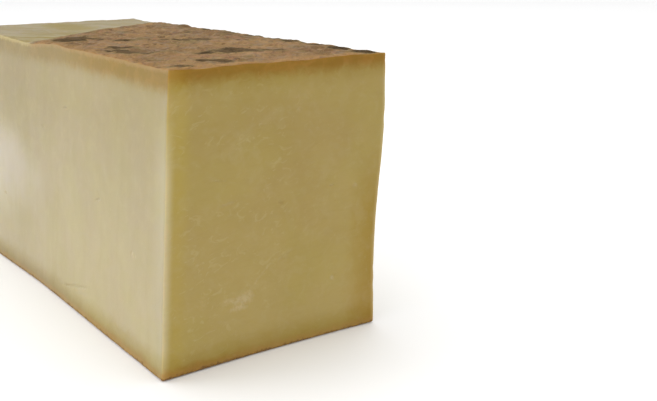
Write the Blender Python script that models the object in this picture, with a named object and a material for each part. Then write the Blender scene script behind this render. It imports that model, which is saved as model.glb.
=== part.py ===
"""A block of Gruyere cut from its wheel, lying on the lower rind. Metres, +Z up, length along X.

The upper and lower faces are the wheel's own rind. The four sides are cut faces, which stand a
little out of square and bow or wave slightly, as a cut made by hand does. One corner of the upper
rind is pared away to the pale cheese below it. Small eyes, slits and nicks show in the cut faces.

The origin is the middle of the footprint, at the height that the block rests on.
"""

import math

import bmesh
import bpy
from mathutils import Euler, Matrix, Vector, noise

# Driving dimensions of the whole block, at its greatest reach
LENGTH = 0.242
WIDTH = 0.1042
HEIGHT = 0.115

# How far each side stands in from the block's greatest reach, at its foot and at its top
NEAR_END_FOOT = 0.0031
NEAR_END_FOOT_SKEW = 0.0013
FAR_END_TOP = 0.0016
FRONT_FOOT = 0.0022
FRONT_TOP = 0.0091
BACK_FOOT = 0.0027
BACK_TOP = 0.0011

# The front's foot swings out to the greatest reach between these shares of the length
FRONT_SWING_START = 0.47
FRONT_SWING_END = 0.18

# How hollow each cut face is in its middle, and the slow wave across the back's height
HOLLOWS = {"near_end": 0.0011, "far_end": 0.0008, "front": 0.0005, "back": 0.0004}
BACK_WAVE = 0.0013
BACK_WAVE_NODE = 0.54

# The softened edges, and the grid that carries the unevenness of the faces
EDGE_RADIUS = 0.0010
EDGE_SEGMENTS = 2
CELL = 0.0078

# The upper rind's hollows, as depth and as size across
RIND_HOLLOW = 0.0005
RIND_HOLLOW_SIZE = 0.022

# The pared corner: a slope down from the rind, outside an arc, to a tilted flat that runs out
# at the far end
PARE_CENTRE = Vector((0.196, 0.2264, 0.0))
PARE_RADIUS = 0.330
PARE_LIP_SLOPE = 0.135
PARE_FLAT_SLOPE = 0.023
PARE_FAR_DEPTH = 0.0003
PARE_REACH = 0.100
PARE_MIDDLE = math.radians(222)
PARE_HALF_ANGLE = math.radians(17.5)
PARE_STEPS = 24
CUTTER_RISE = 0.006

# Eyes, slits and nicks: side, share of the way along it from its left as one faces it, height
# above the foot, length, breadth, depth, and tilt in degrees
MARKS = (
    ("near_end", 0.35, 0.0235, 0.0090, 0.0048, 0.0010, 8),
    ("near_end", 0.16, 0.0230, 0.0030, 0.0062, 0.0006, 12),
    ("near_end", 0.22, 0.0730, 0.0075, 0.0012, 0.0007, -6),
    ("near_end", 0.26, 0.0635, 0.0100, 0.0014, 0.0007, 9),
    ("near_end", 0.51, 0.0605, 0.0040, 0.0016, 0.0008, -4),
    ("near_end", 0.56, 0.0955, 0.0024, 0.0022, 0.0010, 0),
    ("near_end", 0.54, 0.0385, 0.0120, 0.0016, 0.0007, 24),
    ("near_end", 0.76, 0.0640, 0.0028, 0.0013, 0.0008, 0),
    ("near_end", 0.88, 0.0628, 0.0022, 0.0018, 0.0008, 0),
    ("near_end", 0.79, 0.0252, 0.0024, 0.0020, 0.0009, 0),
    ("front", 0.884, 0.0410, 0.0050, 0.0020, 0.0009, 5),
    ("front", 0.633, 0.0115, 0.0330, 0.0018, 0.0008, 13),
    ("front", 0.584, 0.0885, 0.0065, 0.0013, 0.0007, 7),
    ("front", 0.468, 0.0765, 0.0055, 0.0020, 0.0007, -5),
    ("front", 0.739, 0.0560, 0.0070, 0.0013, 0.0006, 15),
    ("front", 0.246, 0.0350, 0.0045, 0.0015, 0.0007, 4),
    ("back", 0.251, 0.0700, 0.0060, 0.0015, 0.0008, -8),
    ("back", 0.512, 0.0330, 0.0032, 0.0024, 0.0010, 0),
    ("back", 0.735, 0.0820, 0.0080, 0.0014, 0.0007, 11),
    ("far_end", 0.35, 0.0440, 0.0065, 0.0014, 0.0007, 10),
    ("far_end", 0.66, 0.0810, 0.0026, 0.0022, 0.0009, 0),
)
MARK_DETAIL = 2

# Each side's left end as one faces it, the way along it to its right end, and its outward direction
SIDES = {
    "near_end": (Vector((LENGTH / 2, -WIDTH / 2, 0)), Vector((0, WIDTH, 0)), Vector((1, 0, 0))),
    "front": (Vector((-LENGTH / 2, -WIDTH / 2, 0)), Vector((LENGTH, 0, 0)), Vector((0, -1, 0))),
    "back": (Vector((LENGTH / 2, WIDTH / 2, 0)), Vector((-LENGTH, 0, 0)), Vector((0, 1, 0))),
    "far_end": (Vector((-LENGTH / 2, WIDTH / 2, 0)), Vector((0, -WIDTH, 0)), Vector((-1, 0, 0))),
}

CHEESE_COLOUR = (0.43, 0.33, 0.14, 1.0)
CHEESE_ROUGHNESS = 0.45


def bow(share):
    """0 at both ends of a side and 1 in its middle."""
    return max(0.0, 4 * share * (1 - share))


def eased(low, high, value):
    """0 up to low and 1 from high on, with a smooth change between them."""
    share = max(0.0, min(1.0, (value - low) / (high - low)))
    return share * share * (3 - 2 * share)


def back_wave(up):
    """The back's wave: hollow in its lower half and full in its upper half."""
    return -BACK_WAVE * math.sin(2 * math.pi * (up - BACK_WAVE_NODE)) * math.sqrt(bow(up))


def inset(name, along, up):
    """How far in a side stands, at shares of the length or width and of the height."""
    if name == "near_end":
        stand = (NEAR_END_FOOT + NEAR_END_FOOT_SKEW * along) * (1 - up)
    elif name == "far_end":
        stand = FAR_END_TOP * up
    elif name == "front":
        swing = eased(FRONT_SWING_END, FRONT_SWING_START, along)
        stand = FRONT_FOOT * swing * (1 - up) + FRONT_TOP * up
    else:
        stand = BACK_FOOT * (1 - up) + BACK_TOP * up + back_wave(up)
    hollow_up = 1 - up if name == "near_end" else bow(up)
    return stand + HOLLOWS[name] * bow(along) * hollow_up


def shaped(point):
    """Moves a point of the plain box to its place on the block as it was cut."""
    along_x = point.x / LENGTH + 0.5
    along_y = point.y / WIDTH + 0.5
    up = point.z / HEIGHT
    far, near = inset("far_end", along_y, up), inset("near_end", along_y, up)
    front, back = inset("front", along_x, up), inset("back", along_x, up)
    return Vector((
        -LENGTH / 2 + far + along_x * (LENGTH - far - near),
        -WIDTH / 2 + front + along_y * (WIDTH - front - back),
        point.z,
    ))


def rind_sunk(point):
    """How far the upper rind lies below its highest level at a place."""
    place = Vector((point.x, point.y, 0)) / RIND_HOLLOW_SIZE
    return RIND_HOLLOW * max(0.0, min(1.0, 0.5 + 0.9 * noise.noise(place)))


def bevelled_box():
    """A box of the block's size, on the ground, with softened edges and no grid yet."""
    mesh = bmesh.new()
    bmesh.ops.create_cube(mesh, size=1)
    bmesh.ops.scale(mesh, vec=(LENGTH, WIDTH, HEIGHT), verts=mesh.verts)
    bmesh.ops.translate(mesh, vec=(0, 0, HEIGHT / 2), verts=mesh.verts)
    bmesh.ops.bevel(
        mesh, geom=mesh.edges[:], offset=EDGE_RADIUS, offset_type="OFFSET", affect="EDGES",
        segments=EDGE_SEGMENTS, profile=0.5, material=-1,
    )
    return mesh


def grid_faces(mesh):
    """Divides every long edge, one direction after another, so that the faces become a grid."""
    for axis, size in enumerate((LENGTH, WIDTH, HEIGHT)):
        long_edges = [
            edge for edge in mesh.edges
            if abs(edge.verts[0].co[axis] - edge.verts[1].co[axis]) > size / 2
        ]
        bmesh.ops.subdivide_edges(
            mesh, edges=long_edges, cuts=round(size / CELL) - 1, use_grid_fill=True,
        )


def flatten_foot(mesh):
    """Makes the whole flat of the lower rind one face."""
    foot = [face for face in mesh.faces if all(abs(vert.co.z) < 1e-7 for vert in face.verts)]
    bmesh.ops.dissolve_faces(mesh, faces=foot, use_verts=False)


def block_mesh():
    """The block with its leaning sides and uneven upper rind, before anything is cut from it."""
    mesh = bevelled_box()
    grid_faces(mesh)
    for vert in mesh.verts:
        on_top = vert.co.z > HEIGHT - EDGE_RADIUS / 2
        vert.co = shaped(vert.co)
        if on_top:
            vert.co.z -= rind_sunk(vert.co)
    flatten_foot(mesh)
    bmesh.ops.recalc_face_normals(mesh, faces=mesh.faces)
    data = bpy.data.meshes.new("gruyere_block")
    mesh.to_mesh(data)
    mesh.free()
    data.shade_smooth()
    data.set_sharp_from_angle(angle=math.radians(40))
    return data


def pare_cutter_mesh():
    """A turned sector that slopes down from the rind, cut off below by the tilted flat."""
    mesh = bmesh.new()
    profile = (
        (PARE_RADIUS, HEIGHT),
        (PARE_RADIUS + PARE_REACH, HEIGHT - PARE_LIP_SLOPE * PARE_REACH),
        (PARE_RADIUS + PARE_REACH, HEIGHT + CUTTER_RISE),
        (PARE_RADIUS, HEIGHT + CUTTER_RISE),
    )
    start = Matrix.Rotation(PARE_MIDDLE - PARE_HALF_ANGLE, 3, "Z") @ Vector((1, 0, 0))
    verts = [
        mesh.verts.new(PARE_CENTRE + start * radius + Vector((0, 0, level)))
        for radius, level in profile
    ]
    sweep = [mesh.faces.new(verts)]
    bmesh.ops.spin(
        mesh, geom=sweep, cent=PARE_CENTRE, axis=(0, 0, 1), angle=2 * PARE_HALF_ANGLE,
        steps=PARE_STEPS, use_duplicate=False,
    )
    cut = bmesh.ops.bisect_plane(
        mesh, geom=mesh.verts[:] + mesh.edges[:] + mesh.faces[:], dist=1e-7,
        plane_co=(-LENGTH / 2, 0, HEIGHT - PARE_FAR_DEPTH), plane_no=(PARE_FLAT_SLOPE, 0, 1),
        clear_inner=True,
    )
    rim = [item for item in cut["geom_cut"] if isinstance(item, bmesh.types.BMEdge)]
    bmesh.ops.contextual_create(mesh, geom=rim)
    bmesh.ops.recalc_face_normals(mesh, faces=mesh.faces)
    data = bpy.data.meshes.new("pared_corner_cutter")
    mesh.to_mesh(data)
    mesh.free()
    return data


def mark_mesh(length, breadth, depth):
    """A flattened ball, as long and broad as the mark that its inner half leaves in the cheese."""
    mesh = bmesh.new()
    bmesh.ops.create_icosphere(mesh, subdivisions=MARK_DETAIL, radius=1)
    bmesh.ops.scale(mesh, vec=(length / 2, breadth / 2, depth), verts=mesh.verts)
    data = bpy.data.meshes.new("mark_cutter")
    mesh.to_mesh(data)
    mesh.free()
    return data


def new_cutter(name, data, collection):
    """An object that only cuts: it isn't drawn and isn't a piece of the block."""
    cutter = bpy.data.objects.new(name, data)
    cutter.hide_render = True
    cutter.display_type = "WIRE"
    collection.objects.link(cutter)
    return cutter


def add_cut(block, name):
    """A Boolean on the block that removes whatever lies in a collection of cutters."""
    collection = bpy.data.collections.new(name)
    bpy.context.scene.collection.children.link(collection)
    cut = block.modifiers.new(name, "BOOLEAN")
    cut.operation = "DIFFERENCE"
    cut.operand_type = "COLLECTION"
    cut.collection = collection
    cut.solver = "EXACT"
    return collection


def pare_corner(block):
    """Takes the rind off the far front corner of the upper face."""
    collection = add_cut(block, "pared_corner")
    new_cutter("pared_corner_cutter", pare_cutter_mesh(), collection)


def cut_marks(block):
    """Sinks the eyes, slits and nicks into the four cut faces."""
    collection = add_cut(block, "marks")
    for number, (name, share, height, length, breadth, depth, tilt) in enumerate(MARKS):
        cutter = new_cutter(f"mark_{number:02d}", mark_mesh(length, breadth, depth), collection)
        left, way, outwards = SIDES[name]
        place = shaped(left + way * share + Vector((0, 0, height)))
        facing = Matrix((way.normalized(), Vector((0, 0, 1)), outwards)).transposed().to_4x4()
        turned = Euler((0, 0, math.radians(tilt))).to_matrix().to_4x4()
        cutter.matrix_world = Matrix.Translation(place) @ facing @ turned


def cheese_material():
    """Pale yellow hard cheese."""
    material = bpy.data.materials.new("cut_cheese")
    material.use_nodes = True
    shader = material.node_tree.nodes["Principled BSDF"]
    shader.inputs["Base Color"].default_value = CHEESE_COLOUR
    shader.inputs["Roughness"].default_value = CHEESE_ROUGHNESS
    shader.inputs["Metallic"].default_value = 0.0
    return material


def main():
    for obj in list(bpy.data.objects):
        bpy.data.objects.remove(obj)
    block = bpy.data.objects.new("gruyere_block", block_mesh())
    bpy.context.scene.collection.objects.link(block)
    block.data.materials.append(cheese_material())
    pare_corner(block)
    cut_marks(block)


main()
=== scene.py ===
"""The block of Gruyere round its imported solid: waxy cut faces, a mottled rind and a pared corner."""

import math

import bmesh
import bpy
from mathutils import Matrix, Vector, noise


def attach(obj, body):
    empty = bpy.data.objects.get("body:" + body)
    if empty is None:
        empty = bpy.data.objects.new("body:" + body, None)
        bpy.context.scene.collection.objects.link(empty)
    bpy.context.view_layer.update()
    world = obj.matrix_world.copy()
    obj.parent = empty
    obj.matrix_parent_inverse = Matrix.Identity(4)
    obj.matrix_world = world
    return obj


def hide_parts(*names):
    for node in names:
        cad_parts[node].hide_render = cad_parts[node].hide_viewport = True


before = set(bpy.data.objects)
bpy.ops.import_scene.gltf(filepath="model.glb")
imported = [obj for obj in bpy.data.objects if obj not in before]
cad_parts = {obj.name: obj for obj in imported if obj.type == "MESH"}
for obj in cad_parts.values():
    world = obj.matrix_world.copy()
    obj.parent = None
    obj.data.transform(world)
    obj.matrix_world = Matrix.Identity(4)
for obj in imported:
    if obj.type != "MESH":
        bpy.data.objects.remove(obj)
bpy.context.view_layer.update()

NODE = "gruyere_block"

# The block's form, as its solid has it: the greatest reach, and how far each side stands in
LENGTH, WIDTH, HEIGHT = 0.242, 0.1042, 0.115
NEAR_END_FOOT, NEAR_END_FOOT_SKEW, FAR_END_TOP = 0.0031, 0.0013, 0.0016
FRONT_FOOT, FRONT_TOP, BACK_FOOT, BACK_TOP = 0.0022, 0.0091, 0.0027, 0.0011
FRONT_SWING_START, FRONT_SWING_END = 0.47, 0.18
HOLLOWS = {"near_end": 0.0011, "far_end": 0.0008, "front": 0.0005, "back": 0.0004}
BACK_WAVE, BACK_WAVE_NODE = 0.0013, 0.54
RIND_HOLLOW, RIND_HOLLOW_SIZE = 0.0005, 0.022
RIND_HOLLOW_MIDDLE, RIND_HOLLOW_SWING = 0.5, 0.9
PARE_CENTRE, PARE_RADIUS = Vector((0.196, 0.2264, 0.0)), 0.330
PARE_LIP_SLOPE, PARE_FLAT_SLOPE, PARE_FAR_DEPTH = 0.135, 0.023, 0.0003
PARE_SOFTNESS = 0.0005

# The rind is whole where the flat lies this far over the slope, and gone where it lies this far under
PARED_FROM, PARED_FULL = -0.0007, 0.0005

# The fine mesh: rounded edges, the size of its cells, and how finely it is cut round a mark
EDGE_RADIUS, EDGE_SEGMENTS = 0.0009, 4
CELL = 0.00130
MARK_MARGIN, MARK_CUTS = 0.0012, 3
SIDE_GIVE = 0.020
LEVEL_ENOUGH = 1e-7

# Relief of the cut faces and of the rind, as height and as size across
SWELL, SWELL_SIZE = 0.00028, 0.034
KNIFE_LINE, KNIFE_LINE_SIZE, KNIFE_LINE_LENGTH = 0.00003, 0.0045, 0.028
KNIFE_SLANT_ON_SIDE, KNIFE_SLANT_ON_END = 0.16, 0.10
CURD, CURD_SIZE = 0.00008, 0.0065
RIND_BUMP, RIND_BUMP_SIZE, RIND_BUMP_SUNK = 0.00075, 0.0085, 0.1
RIND_GRAIN, RIND_GRAIN_SIZE = 0.00042, 0.0036
EDGE_NICK, EDGE_NICK_SIZE = 0.00036, 0.0042
CRUMB, CRUMB_SIZE = 0.00030, 0.0014
RELIEF_LOST_WHERE_PARED = 0.6

# How squarely a place faces up or down to count as rind, and any one way to be off an edge
RIND_FACING, FACE_FACING = (0.45, 0.85), (0.90, 0.995)

# Each relief draws its own noise
SEEDS = {
    "swell": 3.1, "curd": 7.7, "bump": 1.3, "grain": 5.9, "outline": 11.3, "fray": 2.9,
    "crumb": 8.2, "nick": 17.0,
}

# A mark's wall, from its rim to its floor, as shares of its reach. Its outline is uneven in lobes,
# sized by half its breadth, and in fine frays, sized in metres
MARK_WALL = 1.15, 0.25
MARK_OUTLINE, MARK_OUTLINE_SIZE = 0.45, 1.1
MARK_FRAY, MARK_FRAY_SIZE = 0.25, 0.0008

# Eyes, slits, nicks and smears: side, share of the way along it from its left as one faces it,
# height above the foot, length, breadth, depth, tilt in degrees, and tone (pale 1, dark -1)
MARKS = (
    ("near_end", 0.35, 0.0240, 0.0140, 0.0060, 0.0006, 6, 1.00),
    ("near_end", 0.28, 0.0250, 0.0100, 0.0030, 0.0002, 4, 0.60),
    ("near_end", 0.33, 0.0212, 0.0110, 0.0026, 0.0002, 2, 0.70),
    ("near_end", 0.17, 0.0262, 0.0038, 0.0085, 0.0003, 12, 0.30),
    ("near_end", 0.41, 0.0305, 0.0050, 0.0014, 0.0001, 50, 0.40),
    ("near_end", 0.45, 0.0345, 0.0060, 0.0014, 0.0001, 38, 0.45),
    ("near_end", 0.49, 0.0375, 0.0040, 0.0018, 0.0001, 20, 0.40),
    ("near_end", 0.22, 0.0730, 0.0075, 0.0012, 0.0003, -6, 0.35),
    ("near_end", 0.26, 0.0635, 0.0100, 0.0014, 0.0003, 9, 0.35),
    ("near_end", 0.51, 0.0605, 0.0040, 0.0016, 0.0003, -4, -0.25),
    ("near_end", 0.57, 0.0955, 0.0026, 0.0024, 0.0003, 0, 0.45),
    ("near_end", 0.54, 0.0385, 0.0120, 0.0016, 0.0003, 24, 0.30),
    ("near_end", 0.75, 0.0640, 0.0030, 0.0014, 0.0003, 0, 0.70),
    ("near_end", 0.87, 0.0625, 0.0024, 0.0020, 0.0003, 0, 0.70),
    ("near_end", 0.78, 0.0250, 0.0024, 0.0022, 0.0003, 0, 0.90),
    ("front", 0.884, 0.0418, 0.0056, 0.0030, 0.0005, 5, 0.60),
    ("front", 0.633, 0.0115, 0.0330, 0.0018, 0.0004, 13, 0.30),
    ("front", 0.584, 0.0885, 0.0065, 0.0013, 0.0003, 7, 0.12),
    ("front", 0.468, 0.0765, 0.0055, 0.0020, 0.0003, -5, 0.12),
    ("front", 0.739, 0.0560, 0.0070, 0.0013, 0.0003, 15, 0.12),
    ("front", 0.246, 0.0350, 0.0045, 0.0015, 0.0004, 4, 0.20),
    ("back", 0.251, 0.0700, 0.0060, 0.0015, 0.0005, -8, 0.30),
    ("back", 0.512, 0.0330, 0.0032, 0.0024, 0.0006, 0, -0.25),
    ("back", 0.735, 0.0820, 0.0080, 0.0014, 0.0004, 11, 0.30),
    ("far_end", 0.35, 0.0440, 0.0065, 0.0014, 0.0005, 10, 0.30),
    ("far_end", 0.66, 0.0810, 0.0026, 0.0022, 0.0006, 0, -0.25),
)

# Worn dark smudges on the upper rind, each with its middle, its length and breadth, the turn of its
# length in degrees, and how dark it is
SMUDGES = (
    (-0.017, -0.025, 0.013, 0.013, 60, 1.00),
    (-0.009, -0.028, 0.013, 0.017, -24, 1.00),
    (-0.001, -0.031, 0.012, 0.014, 60, 0.95),
    (-0.004, -0.019, 0.012, 0.007, 30, 0.75),
    (0.007, -0.011, 0.010, 0.010, 55, 0.62),
    (0.017, 0.003, 0.010, 0.010, 50, 0.72),
    (0.024, 0.010, 0.012, 0.013, 40, 0.82),
    (0.029, 0.018, 0.010, 0.010, 50, 0.70),
    (0.040, 0.034, 0.012, 0.006, 50, 0.60),
    (0.041, -0.025, 0.012, 0.011, 20, 0.84),
    (0.051, -0.032, 0.010, 0.011, 60, 0.70),
    (0.060, -0.030, 0.012, 0.010, 50, 0.84),
    (0.067, -0.026, 0.009, 0.008, 55, 0.64),
    (0.064, -0.014, 0.006, 0.004, 50, 0.55),
    (0.077, -0.006, 0.010, 0.007, 60, 0.78),
    (0.079, 0.007, 0.023, 0.014, 62, 0.74),
    (0.087, 0.021, 0.014, 0.006, 52, 0.70),
    (0.105, -0.021, 0.007, 0.006, 70, 0.95),
    (0.108, -0.015, 0.008, 0.006, 50, 1.00),
    (0.115, -0.036, 0.010, 0.006, 85, 0.85),
    (-0.022, 0.049, 0.011, 0.005, 10, 0.75),
    (0.002, 0.048, 0.009, 0.005, 10, 0.62),
    (0.024, 0.048, 0.014, 0.006, 0, 0.75),
    (0.041, 0.048, 0.013, 0.006, 0, 0.85),
    (0.057, 0.047, 0.011, 0.006, 0, 0.80),
    (0.068, 0.048, 0.006, 0.005, 0, 0.65),
    (0.078, 0.047, 0.007, 0.006, 0, 0.85),
    (0.096, 0.046, 0.011, 0.008, 0, 1.00),
    (0.115, 0.044, 0.010, 0.011, 20, 1.00),
)

# A smudge fades out from the second of these shares of its reach to the first
SMUDGE_FADE = 1.5, 0.4

# Each side's left end as one faces it, the way along it to its right end, and its outward direction
SIDES = {
    "near_end": (Vector((LENGTH / 2, -WIDTH / 2, 0)), Vector((0, WIDTH, 0)), Vector((1, 0, 0))),
    "front": (Vector((-LENGTH / 2, -WIDTH / 2, 0)), Vector((LENGTH, 0, 0)), Vector((0, -1, 0))),
    "back": (Vector((LENGTH / 2, WIDTH / 2, 0)), Vector((-LENGTH, 0, 0)), Vector((0, 1, 0))),
    "far_end": (Vector((-LENGTH / 2, WIDTH / 2, 0)), Vector((0, -WIDTH, 0)), Vector((-1, 0, 0))),
}

# The ground and the light: each softbox has its place, its size and its power
GROUND_HALF, GROUND_DROP = 6.0, 0.0002
WORLD_STRENGTH = 0.95
SOFTBOXES = (
    ("overhead_softbox", (-0.3, 0.1, 1.9), 1.8, 12),
    ("left_softbox", (-0.90, -1.25, 0.40), 1.1, 12),
)

# The camera: the photo's place, angles in degrees, and lens and sensor in millimetres
CAMERA_PLACE = Vector((0.4171, -0.1847, 0.1539))
CAMERA_AZIMUTH, CAMERA_ELEVATION, CAMERA_ROLL = 54.94, 14.76, -0.23
CAMERA_LENS, CAMERA_SENSOR, CAMERA_CLIP_START = 52.24, 36, 0.01


def bow(share):
    """0 at both ends of a side and 1 in its middle."""
    return max(0.0, 4 * share * (1 - share))


def eased(low, high, value):
    """0 up to low and 1 from high on, with a smooth change between them."""
    share = max(0.0, min(1.0, (value - low) / (high - low)))
    return share * share * (3 - 2 * share)


def soft_least(first, second, softness):
    """The lesser of two heights, with the corner between them rounded."""
    share = max(softness - abs(first - second), 0.0) / softness
    return min(first, second) - share * share * softness / 4


def back_wave(up):
    """The back's wave: hollow in its lower half and full in its upper half."""
    return -BACK_WAVE * math.sin(2 * math.pi * (up - BACK_WAVE_NODE)) * math.sqrt(bow(up))


def inset(name, along, up):
    """How far in a side stands, at shares of the length or width and of the height."""
    if name == "near_end":
        stand = (NEAR_END_FOOT + NEAR_END_FOOT_SKEW * along) * (1 - up)
    elif name == "far_end":
        stand = FAR_END_TOP * up
    elif name == "front":
        swing = eased(FRONT_SWING_END, FRONT_SWING_START, along)
        stand = FRONT_FOOT * swing * (1 - up) + FRONT_TOP * up
    else:
        stand = BACK_FOOT * (1 - up) + BACK_TOP * up + back_wave(up)
    hollow_up = 1 - up if name == "near_end" else bow(up)
    return stand + HOLLOWS[name] * bow(along) * hollow_up


def shaped(point):
    """Moves a point of the plain box to its place on the block as it was cut."""
    along_x = point.x / LENGTH + 0.5
    along_y = point.y / WIDTH + 0.5
    up = point.z / HEIGHT
    far, near = inset("far_end", along_y, up), inset("near_end", along_y, up)
    front, back = inset("front", along_x, up), inset("back", along_x, up)
    return Vector((
        -LENGTH / 2 + far + along_x * (LENGTH - far - near),
        -WIDTH / 2 + front + along_y * (WIDTH - front - back),
        point.z,
    ))


def rind_level(place):
    """The upper rind's own height at a place, before anything is pared."""
    waves = noise.noise(Vector((place.x, place.y, 0)) / RIND_HOLLOW_SIZE)
    hollow = RIND_HOLLOW_MIDDLE + RIND_HOLLOW_SWING * waves
    return HEIGHT - RIND_HOLLOW * max(0.0, min(1.0, hollow))


def pared_planes(place):
    """The heights of the flat and of the slope that the knife left at the pared corner."""
    flat = HEIGHT - PARE_FAR_DEPTH - PARE_FLAT_SLOPE * (place.x + LENGTH / 2)
    reach = (Vector((place.x, place.y, 0)) - PARE_CENTRE).length - PARE_RADIUS
    return flat, HEIGHT - PARE_LIP_SLOPE * reach


def pared_level(place):
    """The pared corner's height at a place: that of the flat or the slope, whichever is higher."""
    flat, slope = pared_planes(place)
    return -soft_least(-flat, -slope, PARE_SOFTNESS)


def pared_share(place):
    """0 on the rind, and 1 where the knife has taken all of it away."""
    flat, slope = pared_planes(place)
    return eased(PARED_FROM, PARED_FULL, flat - slope)


def across(place, size, relief):
    """Even noise of a given size across, from -1 to 1, drawn for one relief."""
    seed = SEEDS[relief]
    return noise.noise(place / size + Vector((seed, seed, seed)))


def cut_relief(place, outward):
    """How far a cut face stands out of its true form: swells, knife lines and curd grain."""
    if abs(outward.y) > abs(outward.x):
        lines = Vector((
            (place.x + KNIFE_SLANT_ON_SIDE * place.z) / KNIFE_LINE_SIZE,
            place.y / SWELL_SIZE,
            place.z / KNIFE_LINE_LENGTH,
        ))
    else:
        lines = Vector((
            place.x / SWELL_SIZE,
            place.y / KNIFE_LINE_LENGTH,
            (place.z + KNIFE_SLANT_ON_END * place.y) / KNIFE_LINE_SIZE,
        ))
    return (
        SWELL * across(place, SWELL_SIZE, "swell")
        + KNIFE_LINE * noise.noise(lines)
        + CURD * across(place, CURD_SIZE, "curd")
    )


def rind_relief(place):
    """How far the rind stands out of its true form: low dents and coarse grain."""
    dents = RIND_BUMP * (across(place, RIND_BUMP_SIZE, "bump") - RIND_BUMP_SUNK)
    return dents + RIND_GRAIN * across(place, RIND_GRAIN_SIZE, "grain")


def smudge_share(place):
    """How dark a place of the upper rind is smudged, by the strongest smudge there."""
    most = 0.0
    for x, y, length, breadth, turn, dark in SMUDGES:
        apart = Matrix.Rotation(-math.radians(turn), 2) @ Vector((place.x - x, place.y - y))
        reach = math.hypot(2 * apart.x / length, 2 * apart.y / breadth)
        most = max(most, dark * eased(*SMUDGE_FADE, reach))
    return most


class Mark:
    """An eye, slit, nick or smear in one of the cut faces."""

    def __init__(self, name, share, height, length, breadth, depth, tilt, tone):
        left, way, self.outward = SIDES[name]
        self.way = way.normalized()
        self.place = left + way * share + Vector((0, 0, height))
        self.half = Vector((length / 2, breadth / 2))
        self.depth = depth
        self.turn = Matrix.Rotation(-math.radians(tilt), 2)
        self.tone = tone

    def local(self, point):
        """A point of the plain box as (along, up) from the mark's middle, in the mark's own tilt."""
        apart = point - self.place
        return self.turn @ Vector((apart.dot(self.way), apart.z))

    def nears(self, point, margin):
        """Whether a point of the plain box lies in the mark or within a margin of it."""
        if abs((point - self.place).dot(self.outward)) > EDGE_RADIUS / 4:
            return False
        spot = self.local(point)
        return abs(spot.x) < self.half.x + margin and abs(spot.y) < self.half.y + margin

    def share(self, point):
        """1 in the mark's middle and 0 outside its uneven outline."""
        spot = self.local(point)
        reach = math.hypot(spot.x / self.half.x, spot.y / self.half.y)
        ragged = MARK_OUTLINE * across(point, self.half.y * MARK_OUTLINE_SIZE, "outline")
        ragged += MARK_FRAY * across(point, MARK_FRAY_SIZE, "fray")
        return eased(*MARK_WALL, reach * (1 + ragged))


MARK_LIST = [Mark(*entry) for entry in MARKS]


def plain_box():
    """A box of the block's size, on the ground, with rounded edges and no grid yet."""
    mesh = bmesh.new()
    bmesh.ops.create_cube(mesh, size=1)
    bmesh.ops.scale(mesh, vec=(LENGTH, WIDTH, HEIGHT), verts=mesh.verts)
    bmesh.ops.translate(mesh, vec=(0, 0, HEIGHT / 2), verts=mesh.verts)
    bmesh.ops.bevel(
        mesh, geom=mesh.edges[:], offset=EDGE_RADIUS, offset_type="OFFSET", affect="EDGES",
        segments=EDGE_SEGMENTS, profile=0.5, material=-1,
    )
    return mesh


def grid_faces(mesh):
    """Divides every long edge, one direction after another, so that the faces become a fine grid."""
    for axis, size in enumerate((LENGTH, WIDTH, HEIGHT)):
        long_edges = [
            edge for edge in mesh.edges
            if abs(edge.verts[0].co[axis] - edge.verts[1].co[axis]) > size / 2
        ]
        bmesh.ops.subdivide_edges(
            mesh, edges=long_edges, cuts=round(size / CELL) - 1, use_grid_fill=True,
        )


def flatten_foot(mesh):
    """Makes the whole flat of the lower rind one face."""
    foot = [
        face for face in mesh.faces
        if all(abs(vert.co.z) < LEVEL_ENOUGH for vert in face.verts)
    ]
    bmesh.ops.dissolve_faces(mesh, faces=foot, use_verts=False)


def refine_marks(mesh):
    """Cuts the grid finer where an eye, slit or nick will be sunk."""
    fine = set()
    for mark in MARK_LIST:
        for vert in mesh.verts:
            if mark.nears(vert.co, MARK_MARGIN):
                fine.update(edge for edge in vert.link_edges)
    bmesh.ops.subdivide_edges(mesh, edges=list(fine), cuts=MARK_CUTS, use_grid_fill=True)


def mark_effect(point):
    """How deep the marks sink a point of the plain box, and the tone that they give it."""
    sunk, tone = 0.0, 0.0
    for mark in MARK_LIST:
        if mark.nears(point, MARK_MARGIN):
            share = mark.share(point)
            crumbs = CRUMB * (1 + across(point, CRUMB_SIZE, "crumb")) * (mark.half.y > CRUMB_SIZE)
            sunk += mark.depth * share - crumbs * share
            tone += mark.tone * share
    return sunk, tone


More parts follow.
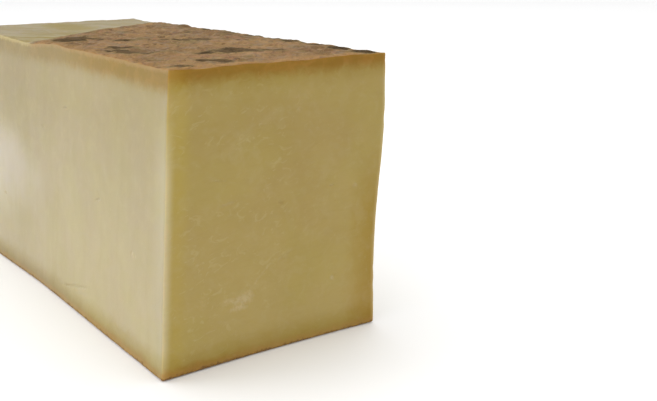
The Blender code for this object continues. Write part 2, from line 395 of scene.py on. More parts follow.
def carve(mesh):
    """Moves every point to its place on the block, and notes what the finish needs of it.

    Noted are the point's place on the plain box, and its shares of rind, paring, tone and smudge.
    """
    plain_layer = mesh.verts.layers.float_vector.new("plain")
    rind_layer = mesh.verts.layers.float.new("rind")
    pared_layer = mesh.verts.layers.float.new("pared")
    tone_layer = mesh.verts.layers.float.new("tone")
    smudge_layer = mesh.verts.layers.float.new("smudge")
    mesh.normal_update()
    moves = []
    for vert in mesh.verts:
        point, outward = vert.co.copy(), vert.normal.copy()
        on_top = point.z > HEIGHT / 2
        place = shaped(point)
        rind = eased(*RIND_FACING, abs(outward.z))
        top = soft_least(rind_level(place), pared_level(place), PARE_SOFTNESS)
        place.z -= (HEIGHT - top) * eased(HEIGHT - SIDE_GIVE, HEIGHT, point.z)
        vert[plain_layer] = point
        vert[rind_layer] = rind
        vert[pared_layer] = pared_share(place) if on_top else 0.0
        vert[smudge_layer] = smudge_share(place) if on_top and rind > 0 else 0.0
        sunk, vert[tone_layer] = mark_effect(point)
        relief = cut_relief(place, outward) - sunk
        if on_top:
            kept = 1 - RELIEF_LOST_WHERE_PARED * vert[pared_layer]
            relief = relief * (1 - rind) + rind_relief(place) * rind * kept
        # A vertex on an edge of the block has an outward direction between those of two faces
        edge = 1 - eased(*FACE_FACING, max(abs(part) for part in outward))
        nick = edge * EDGE_NICK * max(0.0, across(place, EDGE_NICK_SIZE, "nick"))
        shift = outward * (relief - nick)
        if point.z < EDGE_RADIUS:
            shift.z = 0.0
        moves.append((vert, place + shift))
    for vert, place in moves:
        vert.co = place


def block_shell():
    """The whole block as one closed skin."""
    mesh = plain_box()
    grid_faces(mesh)
    refine_marks(mesh)
    carve(mesh)
    flatten_foot(mesh)
    bmesh.ops.triangulate(mesh, faces=[face for face in mesh.faces if len(face.verts) > 4])
    bmesh.ops.recalc_face_normals(mesh, faces=mesh.faces)
    data = bpy.data.meshes.new("cheese_block")
    mesh.to_mesh(data)
    mesh.free()
    data.shade_smooth()
    return data


def paint(red, green, blue):
    """A colour named by its display values, 0 to 255, as the linear colour that a shader takes."""
    def linear(value):
        value /= 255
        return value / 12.92 if value <= 0.04045 else ((value + 0.055) / 1.055) ** 2.4
    return (linear(red), linear(green), linear(blue), 1.0)


def grey(level):
    """An even grey colour."""
    return (level, level, level, 1.0)


# Colours of the cut faces: the ends, and the long faces. The long faces are paler partly as a painted sheen,
# and lighter low down as painted light
END_LOW, END_LOW_DEEP = paint(171, 151, 95), paint(167, 147, 91)
END_HIGH, END_HIGH_DEEP = paint(164, 144, 90), paint(160, 139, 86)
# The ends' colours by the front edge are painted glow of light through the corner: deeper yellow, then pale
# at the edge itself
END_BY_FRONT, END_EDGE_PALE = paint(169, 148, 84), paint(196, 184, 149)
SIDE_LOW, SIDE_LOW_DEEP = paint(173, 160, 127), paint(169, 156, 123)
SIDE_HIGH, SIDE_HIGH_DEEP = paint(159, 146, 114), paint(155, 142, 110)
# The long faces' sheen colour is a painted highlight, and their colour by the end edges is a painted glow
SIDE_BY_END, SIDE_PAINTED_SHEEN, SIDE_RIM = paint(171, 160, 131), paint(178, 168, 153), paint(162, 135, 99)
CURD_PALE, GRAIN_PALE = paint(182, 168, 130), paint(190, 176, 132)
MARK_PALE, MARK_DARK = paint(187, 169, 131), paint(134, 110, 58)
FOOT_RUST, FOOT_DARK = paint(166, 124, 72), paint(104, 78, 50)

# Shades that the cut faces' colours are multiplied by, those of the layer under the rind among them, and
# painted shade low by the ends' back edge, along the long faces' foot and towards their far end
END_PAINTED_SHADE, SIDE_FOOT_SHADE = (0.84, 0.72, 0.45, 1.0), (0.82, 0.82, 0.82, 1.0)
SIDE_FARTHER, GREENER = (0.89, 0.89, 0.93, 1.0), (0.985, 1.0, 0.92, 1.0)
KNIFE_DARK = (0.84, 0.80, 0.70, 1.0)
UNDER_RIND_WIDE, UNDER_RIND_CORE = (0.88, 0.84, 0.66, 1.0), (0.81, 0.63, 0.41, 1.0)
UNDER_RIND_FAR, UNDER_RIND_ORANGE = (0.88, 0.85, 0.77, 1.0), (0.92, 0.66, 0.44, 1.0)

# Colours of the rind and of the pared corner
CRUST, CRUST_DEEP = paint(135, 106, 70), paint(108, 84, 57)
CRUST_OLIVE, CRUST_GREY, CRUST_DARK = paint(114, 100, 66), paint(127, 107, 86), paint(76, 57, 39)
CRUST_ROSE, CRUST_EDGE, CRUST_MAUVE = paint(138, 103, 75), paint(152, 117, 74), paint(93, 77, 65)
CRUST_FLAKE, CRUST_RIM = paint(157, 128, 91), paint(164, 130, 86)
SMUDGE_DARK, SMUDGE_FADED = paint(54, 40, 22), paint(84, 66, 44)
BARE, BARE_YELLOW, BARE_DRY = paint(149, 139, 110), paint(134, 120, 75), paint(146, 136, 116)
# The pared corner's pale edge line is a painted highlight
BARE_LIP = paint(182, 169, 124)

# The noise behind each pattern. Sizes are in metres, and a stretch lengthens the noise along an axis
PATTERNS = {
    "cloud": {"size": 0.026, "detail": 3.0, "rough": 0.55},
    "greener": {"size": 0.022, "detail": 2.0, "rough": 0.5},
    "curd": {"size": 0.0062, "detail": 3.0, "rough": 0.6, "warp": 0.6},
    "blotch": {"size": 0.0068, "detail": 4.0, "rough": 0.65, "warp": 0.8},
    "grain": {"size": 0.0013, "detail": 3.0, "rough": 0.6},
    "crumb": {"size": 0.0021, "detail": 3.0, "rough": 0.65},
    "brushed": {
        "size": 0.0024, "detail": 4.0, "rough": 0.6, "stretch": (3.5, 1, 1), "turn": (0, 0, -0.6),
        "warp": 0.9,
    },
    "end_lines": {
        "size": 0.0024, "detail": 3.0, "rough": 0.6, "stretch": (4, 4, 1), "turn": (0.10, 0, 0),
        "warp": 0.9,
    },
    "side_lines": {
        "size": 0.0042, "detail": 3.0, "rough": 0.6, "stretch": (1, 10, 8), "turn": (0, 0.04, 0),
        "warp": 0.5,
    },
    "torn": {
        "size": 0.0034, "detail": 2.0, "rough": 0.5, "stretch": (1, 1.8, 1), "turn": (0.4, 0, 0),
        "warp": 1.6,
    },
    "dull": {"size": 0.013, "detail": 4.0, "rough": 0.65, "warp": 1.0},
    "stain": {"size": 0.0090, "detail": 5.0, "rough": 0.68, "warp": 0.7},
    "wear": {"size": 0.0038, "detail": 5.0, "rough": 0.74},
    "smear": {
        "size": 0.0085, "detail": 4.0, "rough": 0.6, "stretch": (3, 1, 1), "turn": (0, 0, 0.9),
        "warp": 0.5,
    },
    "ground": {"size": 0.35, "detail": 2.0, "rough": 0.5},
}

# Below, a pair of numbers says where a thing starts and where it is full. Places and gaps are in
# metres, patterns run from 0 to 1, and a share says how strong the thing is where it is full

# The ends' own places
END_FACING = 0.20, 0.60
CURLS_BY_FRONT, CURLS_ELSEWHERE = (0.070, 0.045), 0.3
CURL_SPOTS, CURL_CLOUDS, CURL_SHARE = (0.58, 0.68), (0.42, 0.54), 0.20
DEEPER_BY_FRONT, PALE_BY_FRONT = (0.0120, 0.0050), (0.0042, -0.0012)
PALE_BY_BACK, PALE_BY_BACK_SHARE = (0.0024, 0.0004), 0.4
# Low along the ends' back edge: painted shade, tinted orange as painted reflected light
PAINTED_SHADE_BY_BACK, PAINTED_SHADE_RAGGED, PAINTED_SHADE_HEIGHTS, PAINTED_SHADE_SHARE = (0.0200, 0.0015), 0.010, (0.085, 0.045), 0.9

# The sheen patch on the front, whose pale colour is a painted highlight: middle and half size, along and up
SHEEN_X, SHEEN_HEIGHT, SHEEN_HALF_LENGTH, SHEEN_HALF_HEIGHT = -0.075, 0.048, 0.058, 0.022
SHEEN_RAGGED, SHEEN_FADE, SHEEN_BY_FRONT, PAINTED_SHEEN_SHARE = 0.8, (1.7, -0.5), (0.02, 0.0), 0.75

# All cut faces
DEEP_CLOUDS, DARKER_UPWARDS = (0.30, 0.70), (0.010, 0.095)
EDGE_PALE_HEIGHTS, EDGE_PALE_AT_TOP = (0.106, 0.072), 0.12
FARTHER, PALE_BY_END = (0.060, -0.060), (0.0130, 0.0010)
GREENER_SPOTS = 0.36, 0.64
CURD_SPOTS, CURD_SHARE = (0.45, 0.75), 0.14
LINE_SPOTS, LINE_SHARE, LINE_MORE_ON_END = (0.45, 0.75), 0.12, 0.06
GRAIN_SPOTS, GRAIN_SHARE = (0.62, 0.78), 0.18
CRUMBLY_SPOTS, CRUMBLY_LEAST = (0.42, 0.60), 0.40
MARK_PALE_SHARE, MARK_DARK_SHARE = 0.65, 0.55

# The layer under the rind
LAYER_RAGGED, LAYER_WIDE, LAYER_CORE = 0.0048, (0.0125, 0.0040), (0.0074, 0.0024)
CORE_LOWER_ON_SIDE, CORE_LOST_WHERE_PARED = 0.0025, 0.6
CORE_ON_SIDE, CORE_BY_NEAR_END, BY_NEAR_END = 0.32, 0.38, (0.005, 0.070)
FOOT_CORE, FOOT_CORE_ON_END, FOOT_CORE_LOST, FROM_FRONT = (0.0058, 0.0020), 0.75, 0.5, (0.010, 0.060)
FOOT_CORE_ON_SIDE, FOOT_CORE_BY_NEAR_END = 0.1, 0.4
GLOW_BY_FRONT, GLOW_LIGHTER = (0.0080, 0.0010), 0.35
ORANGE_SPOTS, ORANGE_SHARE = (0.46, 0.62), 0.7
# The long faces' painted contact shade along the foot
FOOT_SHADE, FOOT_SHADE_SHARE, FOOT_SHADE_LOST = (0.0080, 0.0015), 0.8, 0.6
FOOT_RAGGED, RUST, RUST_SHARE = 0.0050, (0.0040, 0.0010), 0.38
DARK_RIM, DARK_RIM_SHARE = (0.0016, 0.0002), 0.7
LIP, LIP_RAGGED, LIP_SHARE = (0.0024, 0.0006), 0.0034, 0.5

# The rind, with its layers from the lowest on: pattern, where it starts and is full, share and colour
DEEP_CRUST_CLOUDS = 0.38, 0.62
CRUST_LAYERS = (
    ("stain", (0.50, 0.60), 0.75, CRUST_ROSE),
    ("dull", (0.50, 0.62), 0.60, CRUST_OLIVE),
    ("blotch", (0.52, 0.62), 0.75, CRUST_GREY),
    ("blotch", (0.45, 0.32), 0.75, CRUST_DARK),
)
CRUST_FLECKS = (
    ("brushed", (0.52, 0.64), 0.36, CRUST_FLAKE),
    ("brushed", (0.47, 0.34), 0.50, CRUST_MAUVE),
    ("crumb", (0.42, 0.28), 0.40, CRUST_DARK),
)
CRUST_BY_END, CRUST_BY_FRONT, CRUST_RAGGED = (0.0100, 0.0015), (0.0080, 0.0015), 0.016
CRUST_EDGE_SHARE, CRUST_FRONT_SHARE = 0.75, 0.5
SMUDGE_HALO, SMUDGE_HALO_SHARE = (0.05, 0.45), 0.6
SMUDGE_WORN, SMUDGE_WEAR, SMUDGE_SHARE, SMUDGE_FADED_SPOTS = (0.20, 0.66), 2.4, 0.90, (0.44, 0.60)
PARED_MARGIN, PARED_MARGIN_SHARE = (0.02, 0.30), 0.6

# The pared corner
YELLOW_X, YELLOW_Y, YELLOW_HALF_LENGTH, YELLOW_HALF_BREADTH = -0.092, -0.004, 0.024, 0.012
YELLOW_RAGGED, YELLOW_FADE, YELLOW_SHARE = 3.0, (2.0, 0.0), 0.9
SMEAR_SPOTS = 0.36, 0.56
DRY_SPOTS, DRY_SHARE, DRY_FARTHER, DRY_FARTHER_SHARE = (0.45, 0.65), 0.4, (-0.040, -0.080), 0.5
BARED, BARED_RAGGED, BARED_FRAYED = (0.30, 0.75), 1.6, 0.8
BARED_FROM, BARED_SURE = (0.02, 0.25), (0.90, 1.00)

# Where the rind meets the cut faces
RIM_SHARE, RIND_SHARE, RIND_RAGGED = 0.85, (0.35, 0.65), 0.5

# Relief too fine for the mesh: heights in metres of each pattern on the cut faces and on the rind
CUT_HEIGHTS = {"grain": 0.00005, "curd": 0.00010, "crumb": 0.00008}
CUT_LINE_HEIGHT, CUT_CURL_HEIGHT = 0.00006, 0.00005
RIND_HEIGHTS = {"grain": 0.00025, "crumb": 0.00040, "blotch": 0.00080, "brushed": 0.00045}
BUMP_STRENGTH = 0.8

# Gloss and depth
CUT_ROUGH, CUT_ROUGH_GRAIN, CUT_ROUGH_LINES, RIND_ROUGH = 0.46, 0.10, 0.08, 0.85
WAXY_HEIGHTS, WAXY_SHARE, WAXY_SHEEN, WAXY_ROUGH = (0.108, 0.055), 0.22, 0.1, 0.32
SPECULAR, REFRACTION = 0.04, 1.44
DEPTH_SHARE, DEPTH_RADIUS = 0.35, (0.0040, 0.0025, 0.0010)
GROUND_PALE, GROUND_DIM, GROUND_DIM_SHARE, GROUND_ROUGH = grey(0.97), grey(0.95), 0.3, 0.65


class Value:
    """A number that varies over a surface: the socket of a node, with the usual operators."""

    def __init__(self, finish, socket):
        self.finish = finish
        self.socket = socket

    def maths(self, operation, *others):
        numbers = dict(enumerate((self,) + others))
        return self.finish.node("ShaderNodeMath", {"operation": operation}, numbers)

    def __add__(self, other):
        return self.maths("ADD", other)

    def __sub__(self, other):
        return self.maths("SUBTRACT", other)

    def __mul__(self, other):
        return self.maths("MULTIPLY", other)

    def __truediv__(self, other):
        return self.maths("DIVIDE", other)

    def __neg__(self):
        return self.maths("MULTIPLY", -1.0)

    def __rsub__(self, other):
        return -self + other

    __radd__ = __add__
    __rmul__ = __mul__

    def most(self, other):
        return self.maths("MAXIMUM", other)

    def least(self, other):
        return self.maths("MINIMUM", other)

    def size(self):
        return self.maths("ABSOLUTE")

    def swing(self, amount):
        """A pattern from 0 to 1 as a shift to either side, with this much between its ends."""
        return (self - 0.5) * amount


class Finish:
    """A material being made, with the few calls that its nodes need."""

    def __init__(self, name):
        self.material = bpy.data.materials.new(name)
        self.material.use_nodes = True
        self.tree = self.material.node_tree
        self.shader = self.tree.nodes["Principled BSDF"]
        self.place = self.node("ShaderNodeTexCoord", out="Object")
        self.patterns = {}

    def node(self, kind, settings=None, sockets=None, out=0):
        """Adds a node, sets it up, gives its sockets values or links, and returns one output."""
        made = self.tree.nodes.new(kind)
        for name, value in (settings or {}).items():
            setattr(made, name, value)
        for name, value in (sockets or {}).items():
            if isinstance(value, Value):
                self.tree.links.new(value.socket, made.inputs[name])
            else:
                made.inputs[name].default_value = value
        return Value(self, made.outputs[out])

    def attribute(self, name, out="Fac"):
        return self.node("ShaderNodeAttribute", {"attribute_name": name}, out=out)

    def part(self, vector, axis):
        """One of a vector's three parts."""
        return self.node("ShaderNodeSeparateXYZ", {}, {"Vector": vector}, out=axis)

    def noise(self, size, detail, rough, stretch=(1, 1, 1), turn=(0, 0, 0), warp=0.0):
        """Noise from 0 to 1 on the object's own coordinates, stretched first and then turned."""
        place = self.node(
            "ShaderNodeMapping", {"vector_type": "TEXTURE"},
            {"Vector": self.place, "Rotation": turn, "Scale": tuple(size * part for part in stretch)},
        )
        return self.node(
            "ShaderNodeTexNoise", {},
            {"Vector": place, "Scale": 1.0, "Detail": detail, "Roughness": rough, "Distortion": warp},
        )

    def pattern(self, name):
        """One of the patterns, made once and then shared."""
        if name not in self.patterns:
            self.patterns[name] = self.noise(**PATTERNS[name])
        return self.patterns[name]

    def eased(self, low, high, value):
        """0 up to low and 1 from high on, with a smooth change between them."""
        return self.node(
            "ShaderNodeMapRange", {"interpolation_type": "SMOOTHSTEP"},
            {"Value": value, "From Min": low, "From Max": high, "To Min": 0.0, "To Max": 1.0},
        )

    def spots(self, limits, name):
        """Where one of the patterns lies past the limits."""
        return self.eased(*limits, self.pattern(name))

    def mix(self, share, first, second, how="MIX"):
        """One colour over another."""
        return self.node(
            "ShaderNodeMix", {"data_type": "RGBA", "blend_type": how, "clamp_factor": True},
            {"Factor": share, 6: first, 7: second}, out=2,
        )

    def layered(self, colour, layers):
        """A colour with layers of others over it, each in its pattern."""
        for name, limits, share, over in layers:
            colour = self.mix(self.spots(limits, name) * share, colour, over)
        return colour

    def set(self, **sockets):
        """Sets or links the shader's own sockets, with an underscore for each blank."""
        for name, value in sockets.items():
            socket = self.shader.inputs[name.replace("_", " ")]
            if isinstance(value, Value):
                self.tree.links.new(value.socket, socket)
            else:
                socket.default_value = value


class Places:
    """Where on the block a point of its finish lies, and the finer things that lie there."""

    def __init__(self, finish):
        plain = finish.attribute("plain", out="Vector")
        self.x, self.y, self.above = (finish.part(plain, axis) for axis in "XYZ")
        self.below = HEIGHT - self.above
        self.end_gap = LENGTH / 2 - self.x.size()
        self.front_gap = self.y + WIDTH / 2
        self.back_gap = WIDTH / 2 - self.y
        self.rind = finish.attribute("rind")
        self.pared = finish.attribute("pared")
        facing = finish.node("ShaderNodeNewGeometry", out="Normal")
        self.on_end = finish.eased(*END_FACING, finish.part(facing, "X").size())
        self.on_side = 1 - self.on_end
        end_lines, side_lines = finish.pattern("end_lines"), finish.pattern("side_lines")
        self.lines = end_lines * self.on_end + side_lines * self.on_side
        # Half way up the front, a patch is painted paler as a painted highlight of sheen, and is given more
        # coat
        reach = oval((self.x - SHEEN_X) / SHEEN_HALF_LENGTH, (self.above - SHEEN_HEIGHT) / SHEEN_HALF_HEIGHT)
        reach = reach + finish.pattern("cloud").swing(SHEEN_RAGGED)
        self.sheen_patch = finish.eased(*SHEEN_FADE, reach) * finish.eased(*SHEEN_BY_FRONT, self.front_gap)
        # Small pale curls of torn curd lie on the ends, mostly in the half by the front
        by_front = finish.eased(*CURLS_BY_FRONT, self.front_gap)
        share = (CURLS_ELSEWHERE + (1 - CURLS_ELSEWHERE) * by_front) * self.on_end
        self.curls = finish.spots(CURL_SPOTS, "torn") * finish.spots(CURL_CLOUDS, "cloud") * share


def oval(along, across_it):
    """0 in the middle of an oval and 1 on its outline, from shares of its half length and breadth."""
    return along * along + across_it * across_it


def cut_colour(finish, on):
    """Cut cheese: deeper yellow on the ends, paler on the long faces, finely streaked and curled. The long
    faces' paleness is partly the cheese's own and partly a painted sheen, and painted glow and shade lie
    along some edges.
    """
    deep = finish.spots(DEEP_CLOUDS, "cloud")
    # Darker towards the top. On the long faces the lower part is painted lighter: painted light making up
    # for the dimmer ground round the foot
    high = finish.eased(*DARKER_UPWARDS, on.above)
    end_low, end_high, side_low, side_high = (
        finish.mix(deep, pale, deeper) for pale, deeper in (
            (END_LOW, END_LOW_DEEP), (END_HIGH, END_HIGH_DEEP),
            (SIDE_LOW, SIDE_LOW_DEEP), (SIDE_HIGH, SIDE_HIGH_DEEP),
        )
    )
    not_high = EDGE_PALE_AT_TOP + (1 - EDGE_PALE_AT_TOP) * finish.eased(*EDGE_PALE_HEIGHTS, on.above)

    end = finish.mix(high, end_low, end_high)
    # Painted glow: deeper yellow near the front edge
    end = finish.mix(finish.eased(*DEEPER_BY_FRONT, on.front_gap), end, END_BY_FRONT)
    # Painted shade low along the back edge, tinted orange as painted reflected light
    ragged = on.back_gap + finish.pattern("blotch").swing(PAINTED_SHADE_RAGGED)
    back_shade = finish.eased(*PAINTED_SHADE_BY_BACK, ragged) * finish.eased(*PAINTED_SHADE_HEIGHTS, on.above)
    end = finish.mix(back_shade * PAINTED_SHADE_SHARE, end, END_PAINTED_SHADE, "MULTIPLY")
    # Painted glow: the pale strip at the front edge itself, fading out near the top
    end = finish.mix(finish.eased(*PALE_BY_FRONT, on.front_gap) * not_high, end, END_EDGE_PALE)
    by_back = finish.eased(*PALE_BY_BACK, on.back_gap) * PALE_BY_BACK_SHARE
    end = finish.mix(by_back, end, END_EDGE_PALE)

    side = finish.mix(high, side_low, side_high)
    # Painted shade: the long faces darken towards the far end, evening out the left softbox's stronger light
    # there
    side = finish.mix(finish.eased(*FARTHER, on.x), side, SIDE_FARTHER, "MULTIPLY")
    # Painted glow: by the end edges the long faces are painted paler, fading out near the top
    side = finish.mix(finish.eased(*PALE_BY_END, on.end_gap) * not_high, side, SIDE_BY_END)
    # Painted highlight: the sheen patch is painted paler
    side = finish.mix(on.sheen_patch * PAINTED_SHEEN_SHARE, side, SIDE_PAINTED_SHEEN)

    paste = finish.mix(on.on_end, side, end)
    paste = finish.mix(finish.spots(GREENER_SPOTS, "greener"), paste, GREENER, "MULTIPLY")
    paste = finish.mix(finish.spots(CURD_SPOTS, "curd") * CURD_SHARE, paste, CURD_PALE)
    line = finish.eased(*LINE_SPOTS, on.lines) * (LINE_MORE_ON_END * on.on_end + LINE_SHARE)
    paste = finish.mix(line, paste, KNIFE_DARK, "MULTIPLY")
    paste = finish.mix(finish.spots(GRAIN_SPOTS, "grain") * GRAIN_SHARE, paste, GRAIN_PALE)
    paste = finish.mix(on.curls * CURL_SHARE, paste, GRAIN_PALE)
    tone = finish.attribute("tone")
    crumbly = CRUMBLY_LEAST + (1 - CRUMBLY_LEAST) * finish.spots(CRUMBLY_SPOTS, "crumb")
    paste = finish.mix(tone.most(0.0) * crumbly * MARK_PALE_SHARE, paste, MARK_PALE)
    return finish.mix((-tone).most(0.0) * MARK_DARK_SHARE, paste, MARK_DARK)


def under_rind(finish, on, paste):
    """The cheese near a rind: yellow brown, and orange brown at the rind itself. Also how near.

    This layer is strong on the ends and faint on the long faces, more so away from the near end. The
    function also paints glow by the ends' front corner and painted contact shade along the long faces' foot.
    """
    uneven = finish.pattern("blotch").swing(LAYER_RAGGED)
    near_top, near_foot = on.below + uneven, on.above + uneven
    by_near_end = finish.eased(*BY_NEAR_END, on.x) * on.on_side
    wide = finish.eased(*LAYER_WIDE, near_top.least(near_foot))
    shade = finish.mix(on.on_side - by_near_end, UNDER_RIND_WIDE, UNDER_RIND_FAR)
    paste = finish.mix(wide, paste, shade, "MULTIPLY")

    # The layer is painted lighter and more orange where the ends meet the front: painted glow of light
    # through the corner
    glow = finish.eased(*GLOW_BY_FRONT, on.front_gap) * on.on_end
    core = finish.eased(*LAYER_CORE, near_top - on.on_side * CORE_LOWER_ON_SIDE)
    core = core * (1 - CORE_LOST_WHERE_PARED * on.pared) * (1 - GLOW_LIGHTER * glow)
    core = core * (on.on_end + CORE_ON_SIDE * on.on_side + CORE_BY_NEAR_END * by_near_end)
    foot_share = (
        FOOT_CORE_ON_END * on.on_end
        - FOOT_CORE_LOST * (finish.eased(*FROM_FRONT, on.front_gap) * on.on_end)
        + FOOT_CORE_ON_SIDE * on.on_side + FOOT_CORE_BY_NEAR_END * by_near_end
    )
    foot_core = finish.eased(*FOOT_CORE, near_foot) * foot_share
    orange = (finish.spots(ORANGE_SPOTS, "curd") * ORANGE_SHARE).most(glow)
    deep = finish.mix(orange, UNDER_RIND_CORE, UNDER_RIND_ORANGE)
    paste = finish.mix(core.most(foot_core), paste, deep, "MULTIPLY")

    # Painted contact shade: the long faces are darkened grey along the foot
    foot_shade = finish.eased(*FOOT_SHADE, near_foot) * on.on_side * (1 - FOOT_SHADE_LOST * by_near_end)
    paste = finish.mix(foot_shade * FOOT_SHADE_SHARE, paste, SIDE_FOOT_SHADE, "MULTIPLY")
    ragged = on.above + finish.pattern("crumb").swing(FOOT_RAGGED)
    paste = finish.mix(finish.eased(*RUST, ragged) * RUST_SHARE, paste, FOOT_RUST)
    paste = finish.mix(finish.eased(*DARK_RIM, ragged) * DARK_RIM_SHARE, paste, FOOT_DARK)
    lip = finish.eased(*LIP, on.below + finish.pattern("crumb").swing(LIP_RAGGED)) * on.on_side
    # Where pared, the long faces' lip is painted pale: a painted edge highlight
    lip_colour = finish.mix(on.pared, SIDE_RIM, BARE_LIP)
    return finish.mix(lip * LIP_SHARE, paste, lip_colour), wide


def rind_colour(finish, on):
    """Dry washed rind: brown, mottled rose, grey and olive, with its worn dark smudges."""
    crust = finish.mix(finish.spots(DEEP_CRUST_CLOUDS, "cloud"), CRUST, CRUST_DEEP)
    crust = finish.layered(crust, CRUST_LAYERS)
    # The rind is painted more orange near the end edges and, half as strongly, near the front: painted glow
    # of light through the edge
    ragged = finish.pattern("blotch").swing(CRUST_RAGGED)
    by_front = finish.eased(*CRUST_BY_FRONT, on.front_gap + ragged) * CRUST_FRONT_SHARE
    by_edge = finish.eased(*CRUST_BY_END, on.end_gap + ragged).most(by_front)
    crust = finish.mix(by_edge * CRUST_EDGE_SHARE, crust, CRUST_EDGE)
    crust = finish.layered(crust, CRUST_FLECKS)
    smudge = finish.attribute("smudge")
    crust = finish.mix(finish.eased(*SMUDGE_HALO, smudge) * SMUDGE_HALO_SHARE, crust, CRUST_OLIVE)
    # The pared corner's border keeps a dull margin
    crust = finish.mix(finish.eased(*PARED_MARGIN, on.pared) * PARED_MARGIN_SHARE, crust, CRUST_OLIVE)
    left = finish.eased(*SMUDGE_WORN, smudge + finish.pattern("wear").swing(SMUDGE_WEAR))
    dark = finish.mix(finish.spots(SMUDGE_FADED_SPOTS, "dull"), SMUDGE_DARK, SMUDGE_FADED)
    return finish.mix(left * SMUDGE_SHARE, crust, dark)


def pared_colour(finish, on):
    """The pared corner: pale cheese, smeared and dried in places."""
    # One place near the far end is yellower than the rest
    reach = oval((on.x - YELLOW_X) / YELLOW_HALF_LENGTH, (on.y - YELLOW_Y) / YELLOW_HALF_BREADTH)
    reach = reach + finish.pattern("smear").swing(YELLOW_RAGGED)
    yellow = finish.eased(*YELLOW_FADE, reach) * YELLOW_SHARE
    bare = finish.mix(finish.spots(SMEAR_SPOTS, "smear").most(yellow), BARE, BARE_YELLOW)
    dry = finish.spots(DRY_SPOTS, "blotch") * DRY_SHARE
    dry = dry + finish.eased(*DRY_FARTHER, on.x) * DRY_FARTHER_SHARE
    return finish.mix(dry * (1 - yellow * YELLOW_SHARE), bare, BARE_DRY)


def fine_height(finish, heights):
    """The summed height of several patterns."""
    layers = [finish.pattern(name) * height for name, height in heights.items()]
    return sum(layers[1:], layers[0])


def cheese_finish():
    """The whole block's finish: cut cheese, the darker layer under the rind, rind and pared corner."""
    finish = Finish("gruyere")
    on = Places(finish)
    paste, layered = under_rind(finish, on, cut_colour(finish, on))
    blotch, crumb, grain = (finish.pattern(name) for name in ("blotch", "crumb", "grain"))
    ragged = on.pared + blotch.swing(BARED_RAGGED) + crumb.swing(BARED_FRAYED)
    bared = finish.eased(*BARED, ragged) * finish.eased(*BARED_FROM, on.pared)
    bared = bared.most(finish.eased(*BARED_SURE, on.pared))
    top = finish.mix(bared, rind_colour(finish, on), pared_colour(finish, on))
    rim = on.rind * (1 - on.rind) * 4
    # Where pared, the rounded edge is painted pale: a painted edge highlight
    top = finish.mix(rim * RIM_SHARE, top, finish.mix(bared, CRUST_RIM, BARE_LIP))
    on_rind = finish.eased(*RIND_SHARE, on.rind + grain.swing(RIND_RAGGED))
    on_cut = 1 - on_rind

    cut_height = (
        fine_height(finish, CUT_HEIGHTS) + on.lines * CUT_LINE_HEIGHT + on.curls * CUT_CURL_HEIGHT
    )
    rind_height = fine_height(finish, RIND_HEIGHTS) * (1 - RELIEF_LOST_WHERE_PARED * bared)
    bump = finish.node("ShaderNodeBump", {}, {
        "Strength": BUMP_STRENGTH, "Distance": 1.0,
        "Height": cut_height * on_cut + rind_height * on_rind,
    })
    rough = CUT_ROUGH + grain * CUT_ROUGH_GRAIN + on.lines * CUT_ROUGH_LINES
    waxy = finish.eased(*WAXY_HEIGHTS, on.above) * WAXY_SHARE + on.sheen_patch * WAXY_SHEEN
    finish.set(
        Base_Color=finish.mix(on_rind, paste, top), Roughness=rough * on_cut + on_rind * RIND_ROUGH,
        Normal=bump, Coat_Weight=waxy * on_cut * (1 - layered) * on.on_side, Coat_Roughness=WAXY_ROUGH,
        Specular_IOR_Level=SPECULAR, IOR=REFRACTION, Subsurface_Weight=DEPTH_SHARE,
        Subsurface_Radius=DEPTH_RADIUS, Subsurface_Scale=1.0,
    )
    return finish.material


def ground_finish():
    """A plain pale ground."""
    finish = Finish("pale_ground")
    colour = finish.mix(finish.pattern("ground") * GROUND_DIM_SHARE, GROUND_PALE, GROUND_DIM)
    finish.set(Base_Color=colour, Roughness=GROUND_ROUGH)
    return finish.material


def new_object(name, data, material):
    """Puts a mesh with its material into the scene."""
    made = bpy.data.objects.new(name, data)
    bpy.context.scene.collection.objects.link(made)
    made.data.materials.append(material)
    return made


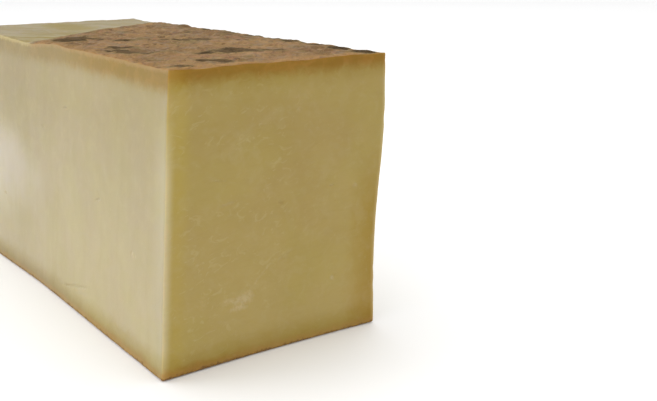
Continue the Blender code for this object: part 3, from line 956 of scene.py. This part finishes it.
def add_ground():
    """The ground that the block stands on, a hair below its foot."""
    mesh = bmesh.new()
    bmesh.ops.create_grid(mesh, x_segments=2, y_segments=2, size=GROUND_HALF)
    data = bpy.data.meshes.new("ground")
    mesh.to_mesh(data)
    mesh.free()
    ground = new_object("ground", data, ground_finish())
    ground.location.z = -GROUND_DROP


def add_softbox(name, place, size, power):
    """A square soft light that faces the block."""
    light = bpy.data.lights.new(name, "AREA")
    light.shape = "SQUARE"
    light.size = size
    light.energy = power
    lamp = bpy.data.objects.new(name, light)
    lamp.location = place
    lamp.rotation_mode = "QUATERNION"
    aim = Vector((0, 0, HEIGHT / 2)) - Vector(place)
    lamp.rotation_quaternion = aim.to_track_quat("-Z", "Y")
    bpy.context.scene.collection.objects.link(lamp)


def add_light():
    """An even white surround and the softboxes."""
    world = bpy.data.worlds.new("studio")
    world.use_nodes = True
    background = world.node_tree.nodes["Background"]
    background.inputs["Color"].default_value = grey(1.0)
    background.inputs["Strength"].default_value = WORLD_STRENGTH
    bpy.context.scene.world = world
    for softbox in SOFTBOXES:
        add_softbox(*softbox)


def add_camera():
    """The camera, where the photo's was."""
    azimuth, elevation, roll = (
        math.radians(angle) for angle in (CAMERA_AZIMUTH, CAMERA_ELEVATION, CAMERA_ROLL)
    )
    backward = Vector((
        math.sin(azimuth) * math.cos(elevation), -math.cos(azimuth) * math.cos(elevation),
        math.sin(elevation),
    ))
    level_right = Vector((math.cos(azimuth), math.sin(azimuth), 0))
    level_up = backward.cross(level_right)
    right = level_right * math.cos(roll) + level_up * math.sin(roll)
    up = level_up * math.cos(roll) - level_right * math.sin(roll)
    data = bpy.data.cameras.new("camera")
    data.sensor_width = CAMERA_SENSOR
    data.lens = CAMERA_LENS
    data.clip_start = CAMERA_CLIP_START
    camera = bpy.data.objects.new("camera", data)
    turn = Matrix((right, up, backward)).transposed().to_4x4()
    camera.matrix_world = Matrix.Translation(CAMERA_PLACE) @ turn
    bpy.context.scene.collection.objects.link(camera)
    bpy.context.scene.camera = camera


def main():
    """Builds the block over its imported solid, and sets up its ground, light and camera."""
    bpy.context.scene.view_settings.view_transform = "Standard"
    block = new_object("cheese_block", block_shell(), cheese_finish())
    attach(block, "root")
    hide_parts(NODE)
    add_ground()
    add_light()
    add_camera()


main()
